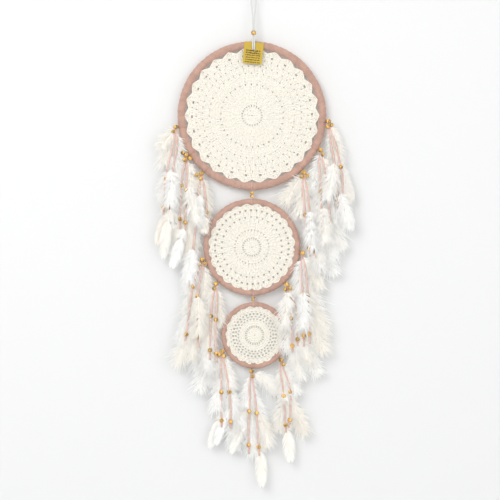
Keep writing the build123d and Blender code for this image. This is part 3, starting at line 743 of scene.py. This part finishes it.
def add_bead(shape, spot, diameter, bore):
    """A round bead with its bore upright: an arc from the bore's lower rim out and up to its upper
    rim, carried round the vertical, and closed by the bore's straight wall."""
    limit = math.acos(bore / diameter)
    rise = np.linspace(-limit, limit, 13)[None, :]
    round_way = (np.arange(20) * 2 * math.pi / 20)[:, None]
    out = np.cos(rise)
    points = diameter / 2 * np.stack([np.cos(round_way) * out, np.sin(round_way) * out,
                                      np.sin(rise) + 0 * round_way], -1)
    i, j = np.arange(20)[:, None] * 13, np.arange(13)[None, :]
    i_next, j_next = (i + 13) % 260, (j + 1) % 13
    quads = np.stack([i + j, i_next + j, i_next + j_next, i + j_next], -1).reshape(-1, 4)
    shape.add((points.reshape(-1, 3) + spot, quads, np.zeros((0, 3), dtype=int)))


def make_clusters():
    """The beads that crowd under each cinch bead, a little forward of it by turns."""
    for name, beads in CLUSTERS.items():
        shape = Shape()
        for number, (x, z, diameter) in enumerate(beads):
            spot = pendant_home(name) + np.array([x, -1.4 - 0.9 * number, z]) * MM
            add_bead(shape, spot, diameter * MM, LACE_AS_ROUND * MM)
        shape.finish(f"{name}_cinch_cluster", f"pendant_{name}", "amber_bead",
                     finish_of("lacquered_bead"))


def make_beads():
    """The CAD beads, in their lacquer."""
    for name in STRANDS:
        dress(f"{name}_beads", "lacquered_bead")
    for node in ("hanger_bead", "upper_link_beads", "lower_link_beads"):
        dress(node, "lacquered_bead")
    for node in ("upper_link_thread", "lower_link_thread"):
        dress(node, "brushed_suede_lace")
    make_clusters()


# --- feathers ---------------------------------------------------------------------------------

def add_feather(shape, kind, root, length, lean, half_width, draw):
    """One feather. Its rachis is a line whose lean eases towards straight down, as a sum of short
    steps. Barb i leaves it at its own share along, forward of square by an angle that falls
    towards the tip, and its length follows a sine arch of that share. Each barb is a thin
    diamond section that tapers to its tip, and bends towards the feather's tip with the square
    of the way along it. Down has loose barbs with a random curl and depth, and a vane's lie flat.
    Past the limits in BARB_ROOM, a barb is drawn in by a hyperbolic tangent."""
    vane = kind == VANE
    steps = np.linspace(0, 1, 40)
    angle = math.radians(lean) * (1 - 0.3 * steps) + draw.uniform(-0.25, 0.25) * steps ** 1.5
    drift = draw.uniform(-0.06, 0.06) + 0.04 * np.sin(steps * 5)
    way = np.stack([np.sin(angle), drift, -np.cos(angle)], -1)
    spine = root + np.cumsum(way, axis=0) * length / len(steps)
    thick = np.linspace(0.45, 0.12, len(steps)) * MM
    shape.add(carry(spine[None, ::3], *diamond(thick[::3], thick[::3])), 0.9)

    each = 88 if vane else 126
    share = np.linspace(0.02, 0.985, 2 * each)
    if not vane:
        share = np.sort(draw.uniform(0.02, 0.985, 2 * each))
    side = np.where(np.arange(2 * each) % 2 == 0, 1.0, -1.0)
    base = np.stack([np.interp(share, steps, spine[:, axis]) for axis in range(3)], -1)
    tangent = unit(np.stack([np.interp(share, steps, way[:, axis]) for axis in range(3)], -1))
    normal = unit(np.cross(tangent, FRONT)) * side[:, None]
    if vane:
        fluff = share < 0.24
        arch = np.sin(math.pi * np.clip(share * 0.9 + 0.08, 0, 1) ** 0.85) ** 0.6
        spread = np.radians(np.where(fluff, 72, 44 - 20 * share) + draw.normal(0, 2.2, len(share)))
        loose = np.where(fluff, 1.0, 0.12)
    else:
        arch = (0.55 + 0.45 * np.sin(math.pi * np.clip(share * 0.95, 0, 1))) * (1.06 - share ** 4 * 0.5)
        spread = np.radians(74 - 46 * share + draw.normal(0, 14, len(share)))
        loose = np.ones(len(share))
    long = half_width * arch * (1 + loose * draw.normal(0, 0.16, len(share)))
    long = long / np.maximum(np.sin(spread), 0.55)
    reach = np.array([0.0, 0.36, 0.7, 1.0])[None, :, None]
    straight = np.cos(spread)[:, None] * tangent + np.sin(spread)[:, None] * normal
    curl = (0.22 * tangent + loose[:, None] * draw.normal(0, 0.2, (len(share), 1)) * normal
            + loose[:, None] * draw.normal(0, 0.13, (len(share), 1)) * FRONT
            + np.array([0.0, 0.0, -0.12]) * loose[:, None])
    barbs = base[:, None, :] + long[:, None, None] * (straight[:, None, :] * reach
                                                      + curl[:, None, :] * reach ** 2)
    barbs[:, :, 1] += draw.uniform(-0.25, 0.25, (len(share), 1)) * MM
    for axis, limit, room in BARB_ROOM:
        over = np.abs(barbs[:, :, axis]) - limit * MM
        drawn_in = limit * MM + room * MM * np.tanh(over / (room * MM))
        drawn_in = np.sign(barbs[:, :, axis]) * drawn_in
        barbs[:, :, axis] = np.where(over > 0, drawn_in, barbs[:, :, axis])
    wide = bpy.context.scene.dream_catcher_sizes.barb_width * (1.05 if vane else 1.0)
    half = np.tile(wide * np.array([0.8, 1.0, 0.8, 0.1]) / 2, (len(share), 1))
    own = draw.uniform(0.38, 0.95)
    tone = np.clip(own + draw.normal(0, 0.1, (len(share), 1)) + 0.25 * reach[:, :, 0], 0, 1)
    shape.add(carry(barbs, *diamond(half, np.full_like(half, 0.09 * MM))),
              np.repeat(tone.ravel(), 4))


def make_feathers():
    """Each pendant's feathers in one piece, in place of its CAD blades."""
    draw = np.random.default_rng(23)
    for name, feathers in FEATHERS.items():
        home, depth = pendant_home(name), strand_depth(name)
        shape = Shape()
        for kind, x, z, length, lean, half_width, layer in feathers:
            y = depth + LAYER_DEPTH[layer] * MM + draw.uniform(-0.7, 0.7) * MM
            root = np.array([home[0] + x * MM, y, home[2] + z * MM])
            add_feather(shape, kind, root, length * MM, lean, half_width * MM, draw)
        shape.finish(f"{name}_plumes", f"pendant_{name}", "feather", finish_of("washed_feather"),
                     [f"{name}_feathers"])


# --- doilies ----------------------------------------------------------------------------------

def scallop_edge(ring, turn):
    """The outline's radius at a number of scallops round from the top, in metres: from the valley
    up to the point by an arch, which is nearly straight-sided on the large doily."""
    _, radius, over = ring_place(ring)
    count, valley = SCALLOPS[ring]
    inner = radius - over
    part = 1 - np.abs(2 * (turn % 1) - 1)
    rise = part if ring == "large" else np.sin(part * math.pi / 2) ** 0.9
    return inner - valley * MM + (valley + 1.4) * MM * rise


def forward_at(ring, radius):
    """How far forward the edge lies at a radius: nothing inside the suede, and then up over its
    round front as the square of the way past a line 2 mm inside it."""
    _, middle, over = ring_place(ring)
    past = np.clip((radius - (middle - over - 2.0 * MM)) / (3.4 * MM), 0, 1)
    return -0.62 * over * past ** 2


def add_posts(shape, centre, inner, outer, angles, width, draw, lift=np.zeros_like):
    """Post stitches: tubes of yarn that run outwards, from an inner to an outer radius, and bow
    forwards by half a sine wave."""
    share = np.array([0.0, 0.3, 0.7, 1.0])[None, :]
    angles, inner, outer = (part[:, None] for part in np.broadcast_arrays(angles, inner, outer))
    radius = inner + (outer - inner) * share
    bow = -(0.25 * np.sin(math.pi * share) + draw.uniform(-0.12, 0.12, angles.shape)) * MM
    swing = draw.normal(0, 0.1, angles.shape) * width / radius * np.array([0, 1, 1, 0])[None, :]
    paths = on_ring(centre, radius, angles + swing, bow + lift(radius))
    half = width / 2 * np.array([1.0, 0.9, 0.94, 1.06])[None, :] * np.ones(angles.shape)
    shape.add(carry(paths, *diamond(half, np.full_like(half, 0.55 * MM))))


def add_chain(shape, centre, radius, width, draw):
    """The chain of loops along the top of a round: short tubes that follow the circle, each one
    turned a little outwards, and raised at the front by half a sine wave."""
    count = max(8, round(2 * math.pi * radius / (3.0 * MM)))
    angles = (np.arange(count)[:, None] + draw.uniform(-0.1, 0.1, (count, 1))) * 2 * math.pi / count
    share = np.array([-0.58, -0.2, 0.2, 0.58])[None, :]
    paths = on_ring(centre, radius + share * 0.7 * MM, angles + share * 2 * math.pi / count,
                    -(0.42 + 0.3 * np.cos(share * 2.4)) * MM)
    half = width * np.array([0.22, 0.36, 0.36, 0.2])[None, :] * np.ones((count, 1))
    shape.add(carry(paths, *diamond(half, half * 0.9)))


def make_doily(ring):
    """One doily: rounds of post stitches, each with its chain along the top, some with openings,
    and then a fan of posts in each scallop inside an edge of yarn."""
    draw = np.random.default_rng({"large": 3, "middle": 5, "small": 7}[ring])
    yarn = bpy.context.scene.dream_catcher_sizes.yarn_width
    centre, radius, over = ring_place(ring)
    shape, trim = Shape(), Shape()
    for low, high, repeats, posts, gap, shift in ROUNDS[ring]:
        middle = (low + high) / 2 * MM
        if not repeats:
            repeats = round(2 * math.pi * middle / yarn)
        place = (np.arange(posts) + 0.5) / posts * (1 - gap)
        angles = (np.arange(repeats)[:, None] + shift + place[None, :]) * 2 * math.pi / repeats
        width = 2 * math.pi * middle / repeats * (1 - gap) / posts
        add_posts(shape, centre, (low - 0.3) * MM, (high + 0.3) * MM, angles.ravel(), width, draw)
        add_chain(trim, centre, high * MM, yarn, draw)
    count, _ = SCALLOPS[ring]
    start = ROUNDS[ring][-1][1] * MM
    posts = {"large": 12, "middle": 8, "small": 7}[ring]
    turn = (np.arange(count)[:, None] + (np.arange(posts) + 0.5)[None, :] / posts).ravel()
    edge = scallop_edge(ring, turn)
    width = 2 * math.pi * start / count / posts
    add_posts(shape, centre, start, np.maximum(edge - 0.3 * MM, start + 0.4 * MM),
              turn * 2 * math.pi / count, width * 1.02, draw,
              lambda radius: forward_at(ring, radius))
    half = np.arange(2 * count)[:, None] / 2
    turn = half + np.linspace(-0.02, 0.52, 8)[None, :]
    edge = scallop_edge(ring, turn) - 0.4 * MM
    paths = on_ring(centre, edge, turn * 2 * math.pi / count, forward_at(ring, edge) - 0.1 * MM)
    thick = np.full((2 * count, 8), 0.7 * MM)
    trim.add(carry(paths, *diamond(thick, thick)))
    doily = shape.finish(f"{ring}_crochet_doily", f"{ring}_ring", "crochet_cotton",
                         finish_of("crochet_cotton_yarn"), [f"{ring}_doily"])
    chains = trim.finish(f"{ring}_chains_and_edge", f"{ring}_ring", "crochet_cotton",
                         finish_of("crochet_cotton_yarn"))


# --- suede wraps ------------------------------------------------------------------------------

def make_wrap(ring):
    """The suede strip wound round the hoop. The section's radius is the CAD wrap's, plus a step of
    0.5 mm that runs round as a helix: it rises over a tenth of each turn of the strip and falls
    evenly over the rest. Slow waves of 0.2 mm make no two turns the same."""
    sizes = bpy.context.scene.dream_catcher_sizes
    centre, radius, over = ring_place(ring)
    turns = round(2 * math.pi * radius / sizes.strip_width)
    along, around = turns * 14, 28
    a = (np.arange(along) * 2 * math.pi / along)[:, None]
    b = (np.arange(around) * 2 * math.pi / around)[None, :]
    slant = 0.12 * np.sin(7 * a) + 0.1 * np.sin(16 * a + 1.0)
    phase = (turns * a / (2 * math.pi) + b / (2 * math.pi) + slant * np.sin(b)) % 1
    step = np.where(phase < 0.1, phase / 0.1, 1 - (phase - 0.1) / 0.9)
    uneven = 0.12 * np.sin(11 * a + 2 * b) + 0.1 * np.sin(29 * a - b) + 0.08 * np.sin(5 * a + 3 * b)
    section = over + (0.5 * step - 0.25 + uneven) * MM
    out = np.stack([np.sin(a), 0 * a, np.cos(a)], -1)
    points = centre + out * (radius + section * np.cos(b))[..., None]
    points[..., 1] += section * np.sin(b)
    i = np.arange(along)[:, None] * around
    j = np.arange(around)[None, :]
    i_next, j_next = (i + around) % (along * around), (j + 1) % around
    quads = np.stack([i + j, i_next + j, i_next + j_next, i + j_next], -1).reshape(-1, 4)
    shape = Shape()
    shape.add((points.reshape(-1, 3), quads, np.zeros((0, 3), dtype=int)))
    shape.finish(f"{ring}_wound_suede", f"{ring}_ring", "suede_wrap",
                 finish_of("brushed_suede_wrap"), [f"{ring}_suede_wrap"])
    dress(f"{ring}_hoop", "peeled_rattan")


# --- stage ------------------------------------------------------------------------------------

def make_plane(name, corners, kind):
    """A flat four-cornered stage piece."""
    thing = make_object(name, np.array(corners, dtype=float), np.array([[0, 1, 2, 3]]),
                        np.zeros((0, 3), dtype=int))
    thing.data.materials.append(finish_of(kind))


def add_light(name, place, target, width, watts):
    """A square, soft light that faces a target."""
    lamp = bpy.data.lights.new(name, "AREA")
    lamp.shape, lamp.size, lamp.energy = "SQUARE", width, watts
    holder = bpy.data.objects.new(name, lamp)
    holder.location = place
    holder.rotation_euler = (Vector(target) - Vector(place)).to_track_quat("-Z", "Y").to_euler()
    bpy.context.scene.collection.objects.link(holder)


def make_stage():
    """A pale wall close behind the ornament, a floor below, soft light and the camera."""
    scene = bpy.context.scene
    back, low, high, side, far = WALL_BACK * MM, -1.2, 1.2, 1.6, 2.6
    make_plane("wall", [(-side, back, low), (side, back, low), (side, back, high),
                        (-side, back, high)], "painted_wall")
    make_plane("floor", [(-far, -far, low), (far, -far, low), (far, far, low), (-far, far, low)],
               "painted_floor")
    world = bpy.data.worlds.new("soft_daylight")
    world.use_nodes = True
    sky = world.node_tree.nodes["Background"]
    sky.inputs["Color"].default_value = (1.0, 0.995, 0.985, 1.0)
    sky.inputs["Strength"].default_value = 0.92
    scene.world = world
    centre = (0.0, 0.0, -0.38)
    add_light("key_light", (-0.9, -1.9, 0.6), centre, 1.2, 23.5)
    add_light("fill_light", (1.3, -2.2, -0.1), centre, 1.8, 12)
    add_light("back_light", (0.5, 1.9, 0.2), centre, 1.6, 24)
    eye = bpy.data.cameras.new("front_camera")
    eye.lens, eye.sensor_width = 117, 36
    camera = bpy.data.objects.new("front_camera", eye)
    camera.location = (-0.0053, -2.4, -0.3806)
    camera.rotation_euler = (math.pi / 2, 0, 0)
    scene.collection.objects.link(camera)
    scene.camera = camera
    scene.view_settings.view_transform = "Standard"


# --- add-on -----------------------------------------------------------------------------------

class DREAMCATCHER_OT_stage(bpy.types.Operator):
    """Makes the wall, the floor, the lights and the camera"""

    bl_idname = "dreamcatcher.stage"
    bl_label = "Stage"

    def execute(self, context):
        make_stage()
        return {"FINISHED"}


class DREAMCATCHER_OT_hanging_cord(bpy.types.Operator):
    """Makes the twisted hanging cord"""

    bl_idname = "dreamcatcher.hanging_cord"
    bl_label = "Hanging cord"

    def execute(self, context):
        make_hanging_cord()
        return {"FINISHED"}


class DREAMCATCHER_OT_laces(bpy.types.Operator):
    """Makes the flat suede strands of each pendant"""

    bl_idname = "dreamcatcher.laces"
    bl_label = "Laces"

    def execute(self, context):
        make_laces()
        return {"FINISHED"}


class DREAMCATCHER_OT_wraps(bpy.types.Operator):
    """Winds the suede strip round each hoop"""

    bl_idname = "dreamcatcher.wraps"
    bl_label = "Suede wraps"

    def execute(self, context):
        for ring in RINGS:
            make_wrap(ring)
        return {"FINISHED"}


class DREAMCATCHER_OT_doilies(bpy.types.Operator):
    """Crochets the three doilies"""

    bl_idname = "dreamcatcher.doilies"
    bl_label = "Doilies"

    def execute(self, context):
        for ring in RINGS:
            make_doily(ring)
        return {"FINISHED"}


class DREAMCATCHER_OT_beads(bpy.types.Operator):
    """Lacquers the beads"""

    bl_idname = "dreamcatcher.beads"
    bl_label = "Beads"

    def execute(self, context):
        make_beads()
        return {"FINISHED"}


class DREAMCATCHER_OT_feathers(bpy.types.Operator):
    """Makes each pendant's feathers"""

    bl_idname = "dreamcatcher.feathers"
    bl_label = "Feathers"

    def execute(self, context):
        make_feathers()
        return {"FINISHED"}


class DREAMCATCHER_OT_label(bpy.types.Operator):
    """Prints the card label"""

    bl_idname = "dreamcatcher.label"
    bl_label = "Label"

    def execute(self, context):
        dress("label_tag", "printed_card")
        return {"FINISHED"}


PIECES = (DREAMCATCHER_OT_stage, DREAMCATCHER_OT_hanging_cord, DREAMCATCHER_OT_laces,
          DREAMCATCHER_OT_wraps, DREAMCATCHER_OT_doilies, DREAMCATCHER_OT_beads,
          DREAMCATCHER_OT_feathers, DREAMCATCHER_OT_label)


class DREAMCATCHER_PT_panel(bpy.types.Panel):
    """Lists the sizes, the colours and the pieces"""

    bl_label = "Dream Catcher"
    bl_idname = "DREAMCATCHER_PT_panel"
    bl_space_type = "VIEW_3D"
    bl_region_type = "UI"
    bl_category = "Dream Catcher"

    def draw(self, context):
        layout = self.layout
        for group in (context.scene.dream_catcher_sizes, context.scene.dream_catcher_colours):
            for name in group.__annotations__:
                layout.prop(group, name)
        for piece in PIECES:
            layout.operator(piece.bl_idname)


CLASSES = (DreamCatcherSizes, DreamCatcherColours) + PIECES + (DREAMCATCHER_PT_panel,)


def register():
    """Registers the classes, and gives the scene its sizes and colours."""
    for kind in CLASSES:
        bpy.utils.register_class(kind)
    bpy.types.Scene.dream_catcher_sizes = bpy.props.PointerProperty(type=DreamCatcherSizes)
    bpy.types.Scene.dream_catcher_colours = bpy.props.PointerProperty(type=DreamCatcherColours)


def unregister():
    """Takes away what register gave."""
    del bpy.types.Scene.dream_catcher_colours
    del bpy.types.Scene.dream_catcher_sizes
    for kind in reversed(CLASSES):
        bpy.utils.unregister_class(kind)


def main():
    """Makes every piece."""
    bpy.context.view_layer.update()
    register()
    for piece in PIECES:
        group, name = piece.bl_idname.split(".")
        getattr(getattr(bpy.ops, group), name)()
    bpy.context.view_layer.update()


if __name__ == "__main__":
    main()
